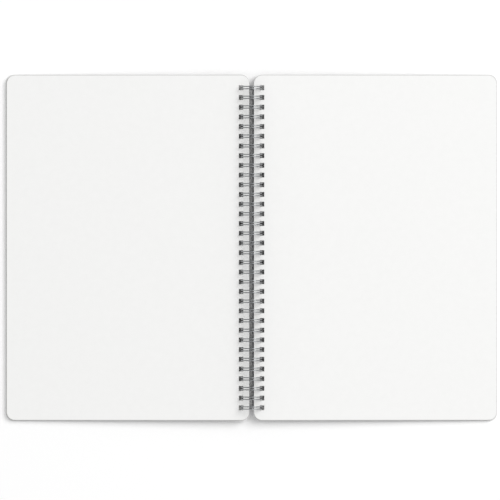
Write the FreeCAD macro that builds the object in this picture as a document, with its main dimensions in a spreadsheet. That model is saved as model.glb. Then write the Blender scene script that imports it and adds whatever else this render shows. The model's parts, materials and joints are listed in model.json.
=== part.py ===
"""A4 notebook bound with a twin-loop wire, lying open at its middle.

Lengths are millimetres. +X runs across the open spread, +Y runs up the page, +Z points up. The origin is
on the table, under the middle of the binding. Every leaf turns about the ring axis, a line along Y.
"""
import FreeCAD, Part
import math
import os

import Sketcher

DRIVING_SIZES = (
    ("sheet_width", 209.0, "width of a page sheet, square to the binding"),
    ("sheet_height", 297.0, "height of a page sheet, along the binding"),
    ("corner_radius", 7.0, "rounding of the corners of sheets and covers"),
    ("left_block_depth", 3.0, "turned sheets on the left, lying together"),
    ("right_block_depth", 3.0, "sheets still on the right, lying together"),
    ("cover_depth", 0.8, "card of the covers"),
    ("cover_overhang", 1.0, "how far a cover stands out past its sheets on three sides"),
    ("leaf_clearance", 0.3, "air between a page block and its cover"),
    ("facing_clearance", 0.3, "air between the page blocks when the book is shut"),
    ("spine_gap", 4.3, "distance between the bound edges of the two sides"),
    ("ring_diameter", 18.0, "centre line of a wire loop, across"),
    ("wire_diameter", 1.0, "the drawn steel wire"),
    ("leg_spacing", 2.0, "between the two legs of a loop"),
    ("bend_radius", 1.0, "bend from a leg into the run beside the next loop"),
    ("tip_reach", 2.3, "how far before the seam the legs of a loop turn into its tip"),
    ("seam_angle", 8.3, "from the lowest point of the ring round to the seam, degrees"),
    ("loop_pitch", 8.36, "from one loop to the next"),
    ("end_margin", 10.0, "from an end of a sheet to the middle of the nearest loop, at the least"),
    ("hole_inner_clearance", 0.3, "from the wire to the side of a hole near the bound edge"),
    ("hole_outer_clearance", 1.5, "from the wire to the far side of a hole"),
    ("hole_side_clearance", 0.6, "from a leg to the end of a hole along the binding"),
)

SAME_LENGTH = 1e-6

doc = FreeCAD.newDocument("wire_bound_notebook")
sheet = doc.addObject("Spreadsheet::Sheet", "Sizes")
for row, (alias, value, meaning) in enumerate(DRIVING_SIZES, start=1):
    sheet.set(f"A{row}", alias)
    sheet.set(f"B{row}", str(value))
    sheet.set(f"C{row}", meaning)
    sheet.setAlias(f"B{row}", alias)
doc.recompute()

BOUND_EDGE = "Sizes.spine_gap / 2"
DEEPEST_FACE = ("(Sizes.facing_clearance / 2 + max(Sizes.left_block_depth; Sizes.right_block_depth)"
                " + Sizes.leaf_clearance + Sizes.cover_depth)")
# Below the axis the loop leans inwards, so the near side of a hole clears it at the deepest cover face.
HOLE_NEAR_SIDE = (f"(sqrt((Sizes.ring_diameter - Sizes.wire_diameter)^2 / 4 - {DEEPEST_FACE}^2)"
                  " - Sizes.hole_inner_clearance)")
HOLE_FAR_SIDE = "(Sizes.ring_diameter / 2 + Sizes.wire_diameter / 2 + Sizes.hole_outer_clearance)"
HOLE_LENGTH = "(Sizes.leg_spacing + Sizes.wire_diameter + 2 * Sizes.hole_side_clearance)"
LOOP_COUNT = "(floor((Sizes.sheet_height - 2 * Sizes.end_margin) / Sizes.loop_pitch) + 1)"
ROW_LENGTH = f"(({LOOP_COUNT} - 1) * Sizes.loop_pitch)"


def size(alias):
    """A driving dimension as a plain number."""
    return float(sheet.get(alias))


def cover_face_depth(side):
    """From the ring axis down to the outer face of the cover, square to the leaves."""
    inner = size("facing_clearance") / 2 + size(f"{side}_block_depth") + size("leaf_clearance")
    return inner + size("cover_depth")


ring_radius = size("ring_diameter") / 2
wire_radius = size("wire_diameter") / 2
half_spacing = size("leg_spacing") / 2
seam_drop = math.hypot(ring_radius, max(size("bend_radius"), half_spacing))
seam_drop *= math.cos(math.radians(size("seam_angle")))
axis_height = max(ring_radius, seam_drop) + wire_radius
loop_count = int(sheet.evalExpression(LOOP_COUNT))


def tilt(side):
    """Slope in degrees that lays the outer edge of a cover on the table beside the raised binding."""
    reach = size("spine_gap") / 2 + size("sheet_width") + size("cover_overhang")
    face = cover_face_depth(side)
    slope = math.asin(axis_height / math.hypot(reach, face)) - math.atan2(face, reach)
    return math.degrees(slope)


def leaf_placement(side, level):
    """Frame of a leaf whose underside lies at the given level, measured from the ring axis."""
    around_binding = FreeCAD.Rotation(FreeCAD.Vector(0, 1, 0), tilt(side))
    if side == "left":
        around_binding = FreeCAD.Rotation(FreeCAD.Vector(0, 0, 1), 180).multiply(around_binding)
    at_axis = FreeCAD.Placement(FreeCAD.Vector(0, 0, axis_height), around_binding)
    return at_axis.multiply(FreeCAD.Placement(FreeCAD.Vector(0, 0, level), FreeCAD.Rotation()))


def origin_plane(body, role):
    return next(plane for plane in body.Origin.OriginFeatures if plane.Role == role)


def rectangle_sketch(body, name, left, width, bottom, height):
    """A rectangle on the leaf's underside. Each measure is an expression in the driving sizes.

    The corners start anywhere in the right order, and the constraints then move them into place.
    """
    sketch = body.newObject("Sketcher::SketchObject", name)
    sketch.AttachmentSupport = [(origin_plane(body, "XY_Plane"), "")]
    sketch.MapMode = "FlatFace"
    corners = [FreeCAD.Vector(x, y, 0) for x, y in ((1, 1), (3, 1), (3, 2), (1, 2))]
    for start, end in zip(corners, corners[1:] + corners[:1]):
        sketch.addGeometry(Part.LineSegment(start, end), False)
    bottom_line, right_line, top_line, left_line = range(4)
    start_point, end_point = 1, 2
    sheet_origin = (-1, 1)
    for line in range(4):
        sketch.addConstraint(
            Sketcher.Constraint("Coincident", line, end_point, (line + 1) % 4, start_point))
    for line in (bottom_line, top_line):
        sketch.addConstraint(Sketcher.Constraint("Horizontal", line))
    for line in (right_line, left_line):
        sketch.addConstraint(Sketcher.Constraint("Vertical", line))
    measures = (
        ("DistanceX", *sheet_origin, bottom_line, start_point, left),
        ("DistanceX", bottom_line, start_point, bottom_line, end_point, width),
        ("DistanceY", *sheet_origin, bottom_line, start_point, bottom),
        ("DistanceY", right_line, start_point, right_line, end_point, height),
    )
    for kind, first, first_point, second, second_point, expression in measures:
        index = sketch.addConstraint(
            Sketcher.Constraint(kind, first, first_point, second, second_point, 1.0))
        sketch.setExpression(f"Constraints[{index}]", expression)
    return sketch


def leaf(label, side, depth, level, overhang):
    """A sheet of the book with rounded corners and a row of square holes beside its bound edge."""
    body = doc.addObject("PartDesign::Body", label)
    body.Label = label
    outline = rectangle_sketch(
        body, f"{label}_outline",
        left=BOUND_EDGE,
        width=f"Sizes.sheet_width + {overhang}",
        bottom=f"-(Sizes.sheet_height / 2 + {overhang})",
        height=f"Sizes.sheet_height + 2 * {overhang}")
    board = body.newObject("PartDesign::Pad", f"{label}_board")
    board.Profile = outline
    board.setExpression("Length", depth)
    doc.recompute()

    upright_edges = [
        f"Edge{index}" for index, edge in enumerate(board.Shape.Edges, start=1)
        if abs(edge.BoundBox.ZLength - board.Shape.BoundBox.ZLength) < SAME_LENGTH
    ]
    corners = body.newObject("PartDesign::Fillet", f"{label}_corners")
    corners.Base = (board, upright_edges)
    corners.setExpression("Radius", "Sizes.corner_radius")

    hole_outline = rectangle_sketch(
        body, f"{label}_hole_outline",
        left=HOLE_NEAR_SIDE,
        width=f"{HOLE_FAR_SIDE} - {HOLE_NEAR_SIDE}",
        bottom=f"-({ROW_LENGTH} + {HOLE_LENGTH}) / 2",
        height=HOLE_LENGTH)
    hole = body.newObject("PartDesign::Pocket", f"{label}_hole")
    hole.Profile = hole_outline
    hole.Type = "ThroughAll"
    hole.Reversed = True
    doc.recompute()

    row_of_holes = body.newObject("PartDesign::LinearPattern", f"{label}_row_of_holes")
    row_of_holes.Originals = [hole]
    row_of_holes.Direction = (hole_outline, ["V_Axis"])
    row_of_holes.setExpression("Length", ROW_LENGTH)
    row_of_holes.setExpression("Occurrences", LOOP_COUNT)
    body.Tip = row_of_holes
    body.Placement = leaf_placement(side, level)
    doc.recompute()
    return body


def arc(start, middle, end):
    return Part.Arc(start, middle, end).toShape()


def loop_point(turn, y):
    """A point of a leg, turned clockwise from the lowest point of the ring, seen along +Y."""
    return FreeCAD.Vector(-ring_radius * math.sin(turn), y, -ring_radius * math.cos(turn))


def leg(from_turn, to_turn, y):
    """One leg of a loop as two arcs, because it is more than half a circle."""
    half_way = (from_turn + to_turn) / 2
    parts = []
    for start, end in ((from_turn, half_way), (half_way, to_turn)):
        parts.append(arc(loop_point(start, y), loop_point((start + end) / 2, y), loop_point(end, y)))
    return parts


def tip(turn, y):
    """The round end that joins the two legs, in the plane that touches the ring there."""
    onwards = FreeCAD.Vector(-math.cos(turn), 0, math.sin(turn))
    crown = loop_point(turn, y) + onwards * half_spacing
    return arc(loop_point(turn, y - half_spacing), crown, loop_point(turn, y + half_spacing))


def seam_run(leg_y, next_leg_y):
    """Out of one loop, straight along the seam, and into the next."""
    bend = size("bend_radius")
    level = -ring_radius
    diagonal = bend * math.sqrt(0.5)
    first_centre = leg_y + bend
    last_centre = next_leg_y - bend
    leaving = arc(FreeCAD.Vector(0, leg_y, level),
                  FreeCAD.Vector(diagonal, first_centre - diagonal, level),
                  FreeCAD.Vector(bend, first_centre, level))
    straight = Part.LineSegment(FreeCAD.Vector(bend, first_centre, level),
                                FreeCAD.Vector(bend, last_centre, level)).toShape()
    entering = arc(FreeCAD.Vector(bend, last_centre, level),
                   FreeCAD.Vector(diagonal, last_centre + diagonal, level),
                   FreeCAD.Vector(0, next_leg_y, level))
    return [leaving, straight, entering]


def wire_shape():
    """The whole binding as one bent wire of round section."""
    first_loop = -(loop_count - 1) / 2 * size("loop_pitch")
    tip_turn = 2 * math.pi - math.asin(size("tip_reach") / ring_radius)
    edges = []
    for index in range(loop_count):
        y = first_loop + index * size("loop_pitch")
        edges += leg(0, tip_turn, y - half_spacing)
        edges.append(tip(tip_turn, y))
        edges += leg(tip_turn, 0, y + half_spacing)
        if index < loop_count - 1:
            edges += seam_run(y + half_spacing, y + size("loop_pitch") - half_spacing)
    path = Part.Wire(edges)
    start = loop_point(0, first_loop - half_spacing)
    section = Part.Circle(start, FreeCAD.Vector(1, 0, 0), wire_radius).toShape()
    bent_wire = path.makePipeShell([Part.Wire([section])], True, True)
    section_area = math.pi * wire_radius ** 2
    print("wire volume / (section x length):", bent_wire.Volume / (section_area * path.Length))
    return bent_wire


right_level = -(size("facing_clearance") / 2 + size("right_block_depth"))
left_level = -(size("facing_clearance") / 2 + size("left_block_depth"))

right_pages = leaf("right_pages", "right", "Sizes.right_block_depth", right_level, "0")
left_pages = leaf("left_pages", "left", "Sizes.left_block_depth", left_level, "0")
back_cover = leaf("back_cover", "right", "Sizes.cover_depth", -cover_face_depth("right"),
                  "Sizes.cover_overhang")
front_cover = leaf("front_cover", "left", "Sizes.cover_depth", -cover_face_depth("left"),
                   "Sizes.cover_overhang")

wire = doc.addObject("Part::Feature", "binding_wire")
wire.Label = "binding_wire"
wire.Shape = wire_shape()
# The seam is turned from beside the lowest point of the ring towards the back cover.
seam_offset = math.degrees(math.atan2(size("bend_radius"), ring_radius))
wire.Placement = FreeCAD.Placement(
    FreeCAD.Vector(0, 0, axis_height),
    FreeCAD.Rotation(FreeCAD.Vector(0, 1, 0), seam_offset - size("seam_angle")))
doc.recompute()

for item in doc.Objects:
    if "Invalid" in item.State or "Error" in item.State:
        raise RuntimeError(f"{item.Name} is in state {item.State}")

sub_parts = (front_cover, left_pages, right_pages, back_cover, wire)
for item in sub_parts:
    if item.Shape.isNull() or not item.Shape.isValid():
        raise RuntimeError(f"{item.Label} has no valid shape")
    print(item.Label, "solids", len(item.Shape.Solids), "volume", round(item.Shape.Volume, 1),
          "box", item.Shape.BoundBox)

os.makedirs("parts", exist_ok=True)
for item in sub_parts:
    item.Shape.exportStep(f"parts/{item.Label}.step")
print("tilt", tilt("left"), tilt("right"), "axis height", axis_height)
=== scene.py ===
import json
import math
import random

import bpy
from bpy.props import FloatProperty, FloatVectorProperty, IntProperty, PointerProperty
from mathutils import Matrix, Vector


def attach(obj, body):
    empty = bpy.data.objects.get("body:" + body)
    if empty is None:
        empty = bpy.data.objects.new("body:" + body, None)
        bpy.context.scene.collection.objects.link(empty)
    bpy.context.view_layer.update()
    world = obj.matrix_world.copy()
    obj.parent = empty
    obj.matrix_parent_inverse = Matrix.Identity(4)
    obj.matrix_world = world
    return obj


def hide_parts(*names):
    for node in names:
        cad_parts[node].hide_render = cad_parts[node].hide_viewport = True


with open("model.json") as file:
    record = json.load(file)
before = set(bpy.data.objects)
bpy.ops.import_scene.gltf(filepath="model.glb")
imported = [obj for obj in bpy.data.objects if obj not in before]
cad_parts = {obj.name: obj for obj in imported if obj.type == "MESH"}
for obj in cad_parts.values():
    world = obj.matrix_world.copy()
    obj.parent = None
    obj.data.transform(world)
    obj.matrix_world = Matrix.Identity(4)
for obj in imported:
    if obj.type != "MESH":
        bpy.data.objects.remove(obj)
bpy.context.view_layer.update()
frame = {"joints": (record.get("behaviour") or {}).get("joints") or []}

bl_info = {
    "name": "Wire-Bound Notebook",
    "version": (1, 0, 0),
    "blender": (4, 5, 0),
    "location": "View3D > Sidebar > Notebook",
    "description": "Sheets, covers and twin-loop wire of an open notebook, with a plain studio",
    "category": "Add Mesh",
}

MM = 0.001
AXIS_HEIGHT = frame["joints"][0]["pos_m"][2]


def hex_to_linear(code):
    """An sRGB colour, six hex digits, as linear RGBA."""
    channels = [int(code[i:i + 2], 16) / 255 for i in (0, 2, 4)]
    linear = [c / 12.92 if c <= 0.04045 else ((c + 0.055) / 1.055) ** 2.4 for c in channels]
    return (*linear, 1.0)


# Sizes and colours that a user would change

class NotebookLeafSizes(bpy.types.PropertyGroup):
    sheet_width: FloatProperty(
        name="Sheet width", description="Width of a page sheet, square to the binding",
        default=209 * MM, unit="LENGTH")
    sheet_height: FloatProperty(
        name="Sheet height", description="Height of a page sheet, along the binding",
        default=297 * MM, unit="LENGTH")
    corner_radius: FloatProperty(
        name="Corner radius", description="Rounding of the corners", default=7 * MM, unit="LENGTH")
    spine_gap: FloatProperty(
        name="Spine gap", description="Distance between the bound edges of the two sides",
        default=4.3 * MM, unit="LENGTH")
    block_depth: FloatProperty(
        name="Block depth", description="Sheets of one side, lying together",
        default=3 * MM, unit="LENGTH")
    sheet_count: IntProperty(
        name="Sheets on each side", description="Sheets in the stack of one side", default=30, min=1)
    cover_depth: FloatProperty(
        name="Cover depth", description="Thickness of the cover card", default=0.8 * MM, unit="LENGTH")
    cover_overhang: FloatProperty(
        name="Cover overhang", description="How far a cover stands out past its sheets",
        default=1 * MM, unit="LENGTH")
    leaf_clearance: FloatProperty(
        name="Leaf clearance", description="Air between the sheets and their cover",
        default=0.3 * MM, unit="LENGTH")
    facing_clearance: FloatProperty(
        name="Facing clearance", description="Air between the two sides when the book is shut",
        default=0.3 * MM, unit="LENGTH")
    stray: FloatProperty(
        name="Stray", description="How far a sheet may lie out of line with the stack",
        default=0.06 * MM, unit="LENGTH")
    paper_colour: FloatVectorProperty(
        name="Paper colour", description="Uncoated white wove paper", subtype="COLOR", size=4,
        default=hex_to_linear("F7F7F6"))
    card_colour: FloatVectorProperty(
        name="Card colour", description="Light grey card of the covers", subtype="COLOR", size=4,
        default=hex_to_linear("DEDEDD"))


class NotebookWireSizes(bpy.types.PropertyGroup):
    ring_diameter: FloatProperty(
        name="Ring diameter", description="Centre line of a loop, across",
        default=18 * MM, unit="LENGTH")
    wire_diameter: FloatProperty(
        name="Wire diameter", description="The drawn steel wire", default=1 * MM, unit="LENGTH")
    leg_spacing: FloatProperty(
        name="Leg spacing", description="Between the two legs of a loop",
        default=2.0 * MM, unit="LENGTH")
    bend_radius: FloatProperty(
        name="Bend radius", description="Bend from a leg into the run along the seam",
        default=1 * MM, unit="LENGTH")
    tip_reach: FloatProperty(
        name="Tip reach", description="How far before the seam the legs turn into the tip",
        default=2.3 * MM, unit="LENGTH")
    seam_angle: FloatProperty(
        name="Seam angle", description="From the lowest point of the ring round to the seam",
        default=math.radians(8.3), subtype="ANGLE")
    loop_pitch: FloatProperty(
        name="Loop pitch", description="From one loop to the next", default=8.36 * MM, unit="LENGTH")
    end_margin: FloatProperty(
        name="End margin", description="From an end of a sheet to the nearest loop, at the least",
        default=10 * MM, unit="LENGTH")
    hole_inner_clearance: FloatProperty(
        name="Inner hole clearance", description="From the wire to the near side of a hole",
        default=0.3 * MM, unit="LENGTH")
    hole_outer_clearance: FloatProperty(
        name="Outer hole clearance", description="From the wire to the far side of a hole",
        default=1.5 * MM, unit="LENGTH")
    hole_side_clearance: FloatProperty(
        name="Side hole clearance", description="From a leg to the end of a hole",
        default=0.6 * MM, unit="LENGTH")
    wire_colour: FloatVectorProperty(
        name="Wire colour", description="Drawn steel with a dull plated skin", subtype="COLOR", size=4,
        default=hex_to_linear("A6A8AA"))


class NotebookStageSizes(bpy.types.PropertyGroup):
    floor_side: FloatProperty(
        name="Floor side", description="Edge of the square floor", default=6.0, unit="LENGTH")
    floor_colour: FloatVectorProperty(
        name="Floor colour", description="Matt white table", subtype="COLOR", size=4,
        default=hex_to_linear("FFFFFF"))
    millimetres_per_pixel: FloatProperty(
        name="Scale of the view", description="Real length that one pixel of the picture shows",
        default=0.862)
    binding_pixel: FloatVectorProperty(
        name="Binding in the picture", description="Middle of the binding in a 500 x 500 picture",
        size=2, default=(251.55, 247.8))


# Modelling helpers

def deselect_all():
    if bpy.context.object and bpy.context.object.mode != "OBJECT":
        bpy.ops.object.mode_set(mode="OBJECT")
    bpy.ops.object.select_all(action="DESELECT")


def make_active(obj):
    deselect_all()
    obj.select_set(True)
    bpy.context.view_layer.objects.active = obj


def edit_all(obj):
    make_active(obj)
    bpy.ops.object.mode_set(mode="EDIT")
    bpy.ops.mesh.select_all(action="SELECT")


def back_to_object():
    bpy.ops.object.mode_set(mode="OBJECT")


def select_faces(obj, wanted):
    """Selects the faces whose middle passes the test, and no others."""
    bpy.ops.mesh.select_all(action="DESELECT")
    bpy.ops.mesh.select_mode(type="FACE")
    bpy.ops.object.mode_set(mode="OBJECT")
    for face in obj.data.polygons:
        face.select = wanted(face.center)
    bpy.ops.object.mode_set(mode="EDIT")


def apply_modifiers(obj):
    make_active(obj)
    for modifier in list(obj.modifiers):
        bpy.ops.object.modifier_apply(modifier=modifier.name)


def copy_of(obj, name):
    """A copy with its own mesh."""
    twin = obj.copy()
    twin.data = obj.data.copy()
    twin.name = name
    bpy.context.collection.objects.link(twin)
    return twin


def joined(objects, name):
    make_active(objects[0])
    for obj in objects:
        obj.select_set(True)
    bpy.ops.object.join()
    objects[0].name = name
    objects[0].data.name = name
    return objects[0]


def settle(obj, placement):
    """Puts a piece at its place and writes that place into its mesh."""
    make_active(obj)
    obj.matrix_world = placement
    bpy.ops.object.transform_apply(location=True, rotation=True, scale=True)


def dress(obj, material, body, node):
    obj.data.materials.clear()
    obj.data.materials.append(material)
    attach(obj, body)
    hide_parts(node)


# Places worked out from the sizes

def cover_face_depth(leaf):
    """From the ring axis down to the outer face of a cover."""
    return leaf.facing_clearance / 2 + leaf.block_depth + leaf.leaf_clearance + leaf.cover_depth


def leaf_tilt(leaf):
    """Slope that lays the outer edge of a cover on the table beside the raised binding."""
    reach = leaf.spine_gap / 2 + leaf.sheet_width + leaf.cover_overhang
    face = cover_face_depth(leaf)
    return math.asin(AXIS_HEIGHT / math.hypot(reach, face)) - math.atan2(face, reach)


def side_placement(leaf, side):
    """Frame of one side, with its origin on the ring axis and +X away from the binding."""
    turned = Matrix.Rotation(leaf_tilt(leaf), 4, "Y")
    if side == "left":
        turned = Matrix.Rotation(math.pi, 4, "Z") @ turned
    return Matrix.Translation((0, 0, AXIS_HEIGHT)) @ turned


def hole_sides(leaf, wire):
    """Near and far side of a hole, measured from the ring axis."""
    inside = wire.ring_diameter / 2 - wire.wire_diameter / 2
    near = math.sqrt(inside ** 2 - cover_face_depth(leaf) ** 2) - wire.hole_inner_clearance
    far = inside + wire.wire_diameter + wire.hole_outer_clearance
    return near, far


def hole_length(wire):
    return wire.leg_spacing + wire.wire_diameter + 2 * wire.hole_side_clearance


def loop_places(leaf, wire):
    """The middle of each loop along the binding, as many as the sheet has room for."""
    row = leaf.sheet_height - 2 * wire.end_margin
    count = math.floor(row / wire.loop_pitch) + 1
    first = -(count - 1) / 2 * wire.loop_pitch
    return [first + index * wire.loop_pitch for index in range(count)]


# Materials

def add_node(tree, kind, inputs=None, **settings):
    """Adds a node, sets its properties, and fills or links its sockets."""
    node = tree.nodes.new(kind)
    for name, value in settings.items():
        setattr(node, name, value)
    for name, value in (inputs or {}).items():
        if isinstance(value, bpy.types.NodeSocket):
            tree.links.new(value, node.inputs[name])
        else:
            node.inputs[name].default_value = value
    return node


def new_material(name):
    material = bpy.data.materials.new(name)
    material.use_nodes = True
    material.node_tree.nodes.clear()
    return material, material.node_tree


def shade(colour, factor):
    return (*[channel * factor for channel in colour[:3]], 1.0)


# Nearly all values of a noise lie between these two.
NOISE_LOW, NOISE_HIGH = 0.3, 0.7


def mottled(tree, noise, colour, darkest):
    """A colour that follows a noise, from its darkest shade up to the colour itself."""
    tone = add_node(tree, "ShaderNodeValToRGB", {"Fac": noise.outputs["Fac"]})
    stops = ((NOISE_LOW, shade(colour, darkest)), (NOISE_HIGH, colour))
    for element, (position, stop_colour) in zip(tone.color_ramp.elements, stops):
        element.position = position
        element.color = stop_colour
    return tone.outputs["Color"]


def uncoated_paper(colour):
    """Uncoated wove paper: matt, with cloudy fibre flocks and a faint tooth that only grazes the light.

    The flocks show from a step away. The tooth shows close up: a pixel of the whole picture is wider.
    """
    flock_size, fibre_size, tooth_height = 6 * MM, 0.35 * MM, 0.03 * MM
    material, tree = new_material("uncoated_wove_paper")
    place = add_node(tree, "ShaderNodeTexCoord").outputs["Object"]
    flock = add_node(tree, "ShaderNodeTexNoise", {
        "Vector": place, "Scale": 1 / flock_size, "Detail": 4.0, "Roughness": 0.6})
    fibre = add_node(tree, "ShaderNodeTexNoise", {
        "Vector": place, "Scale": 1 / fibre_size, "Detail": 3.0, "Roughness": 0.7})
    tooth = add_node(tree, "ShaderNodeBump", {
        "Strength": 0.12, "Distance": tooth_height, "Height": fibre.outputs["Fac"]})
    paper = add_node(tree, "ShaderNodeBsdfPrincipled", {
        "Base Color": mottled(tree, flock, colour, 0.985), "Roughness": 0.92, "IOR": 1.45,
        "Specular IOR Level": 0.25, "Normal": tooth.outputs["Normal"]})
    add_node(tree, "ShaderNodeOutputMaterial", {"Surface": paper.outputs["BSDF"]})
    return material


def cover_board(colour):
    """Calendered light grey card: a little smoother than the sheets, with a fine pressed grain.

    The grain shows close up, as a slight unevenness of the gloss.
    """
    cloud_size, grain_size, grain_depth = 10 * MM, 0.6 * MM, 0.05 * MM
    material, tree = new_material("calendered_card")
    place = add_node(tree, "ShaderNodeTexCoord").outputs["Object"]
    cloud = add_node(tree, "ShaderNodeTexNoise", {
        "Vector": place, "Scale": 1 / cloud_size, "Detail": 3.0, "Roughness": 0.55})
    grain = add_node(tree, "ShaderNodeTexVoronoi", {"Vector": place, "Scale": 1 / grain_size})
    pressed = add_node(tree, "ShaderNodeBump", {
        "Strength": 0.15, "Distance": grain_depth, "Height": grain.outputs["Distance"]})
    card = add_node(tree, "ShaderNodeBsdfPrincipled", {
        "Base Color": mottled(tree, cloud, colour, 0.97), "Roughness": 0.6, "IOR": 1.48,
        "Specular IOR Level": 0.4, "Normal": pressed.outputs["Normal"]})
    add_node(tree, "ShaderNodeOutputMaterial", {"Surface": card.outputs["BSDF"]})
    return material


def plated_wire(colour):
    """Drawn steel wire with a dull nickel skin: soft highlights, broken by fine drawing marks."""
    smear_size, mark_size, mark_depth = 1.5 * MM, 0.12 * MM, 0.01 * MM
    sharpest, dullest = 0.24, 0.36
    material, tree = new_material("nickel_plated_steel_wire")
    place = add_node(tree, "ShaderNodeTexCoord").outputs["Object"]
    smear = add_node(tree, "ShaderNodeTexNoise", {
        "Vector": place, "Scale": 1 / smear_size, "Detail": 3.0, "Roughness": 0.6})
    dull = add_node(tree, "ShaderNodeMapRange", {
        "Value": smear.outputs["Fac"], "To Min": sharpest, "To Max": dullest})
    drawn = add_node(tree, "ShaderNodeTexNoise", {
        "Vector": place, "Scale": 1 / mark_size, "Detail": 2.0, "Roughness": 0.6})
    marks = add_node(tree, "ShaderNodeBump", {
        "Strength": 0.1, "Distance": mark_depth, "Height": drawn.outputs["Fac"]})
    metal = add_node(tree, "ShaderNodeBsdfPrincipled", {
        "Base Color": mottled(tree, smear, colour, 0.85), "Metallic": 1.0,
        "Roughness": dull.outputs["Result"], "Normal": marks.outputs["Normal"]})
    add_node(tree, "ShaderNodeOutputMaterial", {"Surface": metal.outputs["BSDF"]})
    return material


# Leaves

CORNER_SEGMENTS = 8
CUT_EDGE_ROUNDING = 0.12 * MM
CUT_EDGE_SEGMENTS = 2
# The air between two sheets, as a share of the distance from one sheet to the next.
AIR_SHARE = 0.12


def punched_leaf(leaf, wire, overhang, name):
    """A flat leaf with rounded corners and its row of square holes, before it gets a thickness."""
    width = leaf.sheet_width + overhang
    height = leaf.sheet_height + 2 * overhang
    bound_edge = leaf.spine_gap / 2
    near, far = hole_sides(leaf, wire)
    half_hole = hole_length(wire) / 2
    places = loop_places(leaf, wire)

    deselect_all()
    bpy.ops.mesh.primitive_plane_add(size=1)
    obj = bpy.context.object
    obj.name = name
    edit_all(obj)
    bpy.ops.transform.resize(value=(width, height, 1))
    bpy.ops.transform.translate(value=(bound_edge + width / 2, 0, 0))
    bpy.ops.mesh.bevel(affect="VERTICES", offset=leaf.corner_radius, segments=CORNER_SEGMENTS)
    cuts = [((x, 0, 0), (1, 0, 0)) for x in (near, far)]
    cuts += [((0, y + side, 0), (0, 1, 0)) for y in places for side in (-half_hole, half_hole)]
    for point, normal in cuts:
        bpy.ops.mesh.select_all(action="SELECT")
        bpy.ops.mesh.bisect(plane_co=point, plane_no=normal)

    def in_a_hole(middle):
        return near < middle.x < far and any(abs(middle.y - y) < half_hole for y in places)

    select_faces(obj, in_a_hole)
    bpy.ops.mesh.delete(type="FACE")
    back_to_object()
    return obj


def thicken(obj, depth):
    """Gives a flat leaf its thickness, upwards from where it lies."""
    solid = obj.modifiers.new("thickness", "SOLIDIFY")
    solid.thickness = depth
    solid.offset = 1.0
    apply_modifiers(obj)


def sheet_stack(leaf, wire, side, seed):
    """Every sheet of one side, each a little out of line with the next."""
    pitch = leaf.block_depth / leaf.sheet_count
    sheet = punched_leaf(leaf, wire, 0.0, f"{side}_sheet")
    thicken(sheet, pitch * (1 - AIR_SHARE))
    underside = -(leaf.facing_clearance / 2 + leaf.block_depth)
    chance = random.Random(seed)
    sheets = []
    for index in range(leaf.sheet_count):
        copy = copy_of(sheet, f"{side}_sheet_{index}")
        drift = (chance.uniform(-1, 1) * leaf.stray, chance.uniform(-1, 1) * leaf.stray)
        settle(copy, Matrix.Translation((*drift, underside + (index + AIR_SHARE) * pitch)))
        sheets.append(copy)
    bpy.data.objects.remove(sheet)
    stack = joined(sheets, f"{side}_sheets")
    settle(stack, side_placement(leaf, side))
    return stack


def cover_card(leaf, wire, side, name):
    """One cover, with its cut edges a little rounded."""
    card = punched_leaf(leaf, wire, leaf.cover_overhang, name)
    thicken(card, leaf.cover_depth)
    edge = card.modifiers.new("edge", "BEVEL")
    edge.width = CUT_EDGE_ROUNDING
    edge.segments = CUT_EDGE_SEGMENTS
    edge.limit_method = "ANGLE"
    apply_modifiers(card)
    settle(card, side_placement(leaf, side) @ Matrix.Translation((0, 0, -cover_face_depth(leaf))))
    card.data.name = name
    return card


class NotebookAddSheets(bpy.types.Operator):
    """Stacks the sheets of both sides on their covers"""
    bl_idname = "notebook.add_sheets"
    bl_label = "Add Sheets"

    def execute(self, context):
        leaf, wire = context.scene.notebook_leaf, context.scene.notebook_wire
        paper = uncoated_paper(tuple(leaf.paper_colour))
        for seed, side in enumerate(("left", "right"), start=1):
            stack = sheet_stack(leaf, wire, side, seed)
            dress(stack, paper, f"{side}_pages", f"{side}_pages")
        return {"FINISHED"}


class NotebookAddCovers(bpy.types.Operator):
    """Adds the front cover on the left and the back cover on the right"""
    bl_idname = "notebook.add_covers"
    bl_label = "Add Covers"

    def execute(self, context):
        leaf, wire = context.scene.notebook_leaf, context.scene.notebook_wire
        card = cover_board(tuple(leaf.card_colour))
        for side, node in (("left", "front_cover"), ("right", "back_cover")):
            cover = cover_card(leaf, wire, side, f"{node}_card")
            dress(cover, card, node, node)
        return {"FINISHED"}


# Binding wire

SECTION_POINTS = 12
LEG_STEPS = 56
TIP_STEPS = 10
BEND_STEPS = 5
WELD_REACH = 0.01 * MM
SMOOTH_UNDER = math.radians(40)
ALONG_BINDING = (0, 1, 0)
UPWARDS = (0, 0, 1)


def spin(steps, turn, centre, axis):
    """Sweeps what is selected round an axis by the right-hand rule.

    The operator itself turns the other way.
    """
    bpy.ops.mesh.spin(steps=steps, angle=-turn, center=centre, axis=axis)


def wire_section(wire, y, name):
    """The round section at the lowest point of the ring, square to the leg that starts there."""
    deselect_all()
    bpy.ops.mesh.primitive_circle_add(
        vertices=SECTION_POINTS, radius=wire.wire_diameter / 2,
        location=(0, y, -wire.ring_diameter / 2), rotation=(0, math.pi / 2, 0))
    obj = bpy.context.object
    obj.name = name
    make_active(obj)
    bpy.ops.object.transform_apply(location=True, rotation=True, scale=True)
    edit_all(obj)
    return obj


def repeated(obj, count, pitch):
    array = obj.modifiers.new("repeat", "ARRAY")
    array.count = count
    array.use_relative_offset = False
    array.use_constant_offset = True
    array.constant_offset_displace = (0, pitch, 0)
    back_to_object()
    apply_modifiers(obj)


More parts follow.
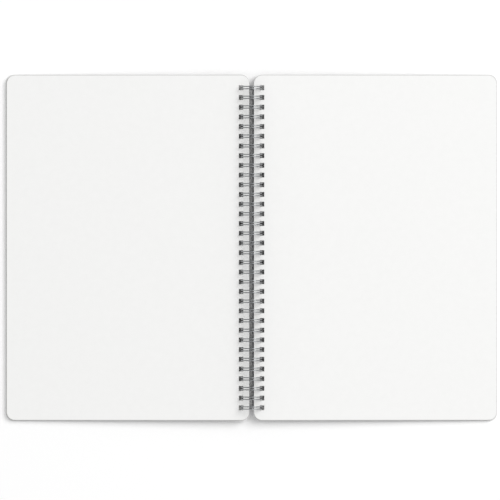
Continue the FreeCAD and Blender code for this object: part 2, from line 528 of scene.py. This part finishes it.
def ring_loop(wire, y):
    """One loop: a leg up and over, the round tip beside the seam, and the other leg back."""
    radius, half = wire.ring_diameter / 2, wire.leg_spacing / 2
    tip_turn = 2 * math.pi - math.asin(wire.tip_reach / radius)
    outwards = Vector((-math.sin(tip_turn), 0, -math.cos(tip_turn)))
    loop = wire_section(wire, y - half, "ring_loop")
    spin(LEG_STEPS, tip_turn, (0, 0, 0), ALONG_BINDING)
    spin(TIP_STEPS, math.pi, outwards * radius + Vector((0, y, 0)), outwards)
    spin(LEG_STEPS, -tip_turn, (0, 0, 0), ALONG_BINDING)
    return loop


def seam_run(wire, y):
    """Out of one loop, straight along the seam, and into the next."""
    half, bend = wire.leg_spacing / 2, wire.bend_radius
    level = -wire.ring_diameter / 2
    straight = wire.loop_pitch - wire.leg_spacing - 2 * bend
    run = wire_section(wire, y + half, "seam_run")
    spin(BEND_STEPS, math.pi / 2, (0, y + half + bend, level), UPWARDS)
    bpy.ops.mesh.extrude_region_move(TRANSFORM_OT_translate={"value": (0, straight, 0)})
    spin(BEND_STEPS, math.pi / 2, (0, y + wire.loop_pitch - half - bend, level), UPWARDS)
    return run


def weld_and_close(obj):
    """Makes the loops and runs one wire, and closes its two cut ends."""
    edit_all(obj)
    bpy.ops.mesh.remove_doubles(threshold=WELD_REACH)
    bpy.ops.mesh.select_all(action="DESELECT")
    bpy.ops.mesh.select_mode(type="VERT")
    bpy.ops.mesh.select_non_manifold()
    bpy.ops.mesh.edge_face_add()
    bpy.ops.mesh.select_all(action="SELECT")
    bpy.ops.mesh.normals_make_consistent(inside=False)
    back_to_object()
    bpy.ops.object.shade_smooth_by_angle(angle=SMOOTH_UNDER)


class NotebookAddWire(bpy.types.Operator):
    """Bends the twin-loop wire through the holes"""
    bl_idname = "notebook.add_wire"
    bl_label = "Add Binding Wire"

    def execute(self, context):
        leaf, wire = context.scene.notebook_leaf, context.scene.notebook_wire
        places = loop_places(leaf, wire)
        loops = ring_loop(wire, places[0])
        repeated(loops, len(places), wire.loop_pitch)
        runs = seam_run(wire, places[0])
        repeated(runs, len(places) - 1, wire.loop_pitch)
        binding = joined([loops, runs], "twin_loop_wire")
        weld_and_close(binding)
        # As bent, the seam lies to one side of the ring's lowest point, by the radius of its bends.
        turn = math.atan2(wire.bend_radius, wire.ring_diameter / 2) - wire.seam_angle
        settle(binding, Matrix.Translation((0, 0, AXIS_HEIGHT)) @ Matrix.Rotation(turn, 4, "Y"))
        dress(binding, plated_wire(tuple(wire.wire_colour)), "binding_wire", "binding_wire")
        return {"FINISHED"}


# Studio

# How bright the lens and reflections see the table, as a multiple of its own colour.
SEEN_FLOOR = 1.03
AIR_COLOUR = hex_to_linear("FFFFFF")
AIR_STRENGTH = 0.615
KEY_WATTS = 205.0
KEY_DIAMETER = 4.0
KEY_PLACE = (3.4, 2.2, 4.5)
# A long lens, because the photo shows almost no perspective.
LENS_MM = 500.0
SENSOR_MM = 36.0
PICTURE_SIDE = 500


def white_floor(colour):
    """Matt white table top. The lens and reflections see it a touch brighter, so that it is pure white
    there, and it keeps the object's shadow.
    """
    material, tree = new_material("matt_white_table")
    path = add_node(tree, "ShaderNodeLightPath")
    seen = path.outputs["Is Camera Ray"]
    for ray in ("Is Glossy Ray", "Is Transmission Ray"):
        either = add_node(tree, "ShaderNodeMath", {0: seen, 1: path.outputs[ray]}, operation="MAXIMUM")
        seen = either.outputs["Value"]
    brightness = add_node(tree, "ShaderNodeMapRange", {
        "Value": seen, "To Min": 1.0, "To Max": SEEN_FLOOR})
    white = add_node(tree, "ShaderNodeVectorMath", {
        0: colour[:3], "Scale": brightness.outputs["Result"]}, operation="SCALE")
    table = add_node(tree, "ShaderNodeBsdfDiffuse", {"Color": white.outputs["Vector"]})
    add_node(tree, "ShaderNodeOutputMaterial", {"Surface": table.outputs["BSDF"]})
    return material


def add_table(stage):
    deselect_all()
    bpy.ops.mesh.primitive_plane_add(size=stage.floor_side)
    table = bpy.context.object
    table.name = "table_top"
    table.data.materials.append(white_floor(tuple(stage.floor_colour)))


def add_key_light():
    """A broad soft light from the upper right, aimed at the middle of the notebook."""
    bpy.ops.object.light_add(type="AREA", location=KEY_PLACE)
    key = bpy.context.object
    key.name = "soft_key"
    key.data.shape = "DISK"
    key.data.size = KEY_DIAMETER
    key.data.energy = KEY_WATTS
    key.rotation_euler = (-Vector(KEY_PLACE)).to_track_quat("-Z", "Y").to_euler()


def add_studio_air(scene):
    """Even white light from all round."""
    scene.world = bpy.data.worlds.new("studio_air")
    scene.world.use_nodes = True
    background = scene.world.node_tree.nodes["Background"]
    background.inputs["Color"].default_value = AIR_COLOUR
    background.inputs["Strength"].default_value = AIR_STRENGTH


def add_overhead_camera(scene, stage):
    """Looks straight down, and shows the ring axis at the picture's own scale."""
    pixel = stage.millimetres_per_pixel * MM
    height = AXIS_HEIGHT + pixel * PICTURE_SIDE * LENS_MM / SENSOR_MM
    middle = PICTURE_SIDE / 2
    aim_x = (middle - stage.binding_pixel[0]) * pixel
    aim_y = (stage.binding_pixel[1] - middle) * pixel
    bpy.ops.object.camera_add(location=(aim_x, aim_y, height), rotation=(0, 0, 0))
    camera = bpy.context.object
    camera.name = "overhead_camera"
    camera.data.lens = LENS_MM
    camera.data.sensor_width = SENSOR_MM
    scene.camera = camera


class NotebookAddStage(bpy.types.Operator):
    """Adds the white table, the soft light from the upper right and the camera overhead"""
    bl_idname = "notebook.add_stage"
    bl_label = "Add Stage"

    def execute(self, context):
        stage = context.scene.notebook_stage
        add_table(stage)
        add_key_light()
        add_studio_air(context.scene)
        add_overhead_camera(context.scene, stage)
        context.scene.view_settings.view_transform = "Standard"
        return {"FINISHED"}


class NOTEBOOK_PT_build(bpy.types.Panel):
    """Buttons and sizes of the notebook"""
    bl_label = "Wire-Bound Notebook"
    bl_idname = "NOTEBOOK_PT_build"
    bl_space_type = "VIEW_3D"
    bl_region_type = "UI"
    bl_category = "Notebook"

    def draw(self, context):
        for group in (context.scene.notebook_leaf, context.scene.notebook_wire,
                      context.scene.notebook_stage):
            box = self.layout.box()
            for name in group.__annotations__:
                box.prop(group, name)
        for operator in OPERATORS:
            self.layout.operator(operator.bl_idname)


PROPERTY_GROUPS = {
    "notebook_leaf": NotebookLeafSizes,
    "notebook_wire": NotebookWireSizes,
    "notebook_stage": NotebookStageSizes,
}
OPERATORS = (NotebookAddStage, NotebookAddCovers, NotebookAddSheets, NotebookAddWire)
CLASSES = (*PROPERTY_GROUPS.values(), *OPERATORS, NOTEBOOK_PT_build)


def register():
    for each in CLASSES:
        bpy.utils.register_class(each)
    for name, group in PROPERTY_GROUPS.items():
        setattr(bpy.types.Scene, name, PointerProperty(type=group))


def unregister():
    for name in PROPERTY_GROUPS:
        delattr(bpy.types.Scene, name)
    for each in reversed(CLASSES):
        bpy.utils.unregister_class(each)


def main():
    register()
    bpy.ops.notebook.add_stage()
    bpy.ops.notebook.add_covers()
    bpy.ops.notebook.add_sheets()
    bpy.ops.notebook.add_wire()


if __name__ == "__main__":
    main()
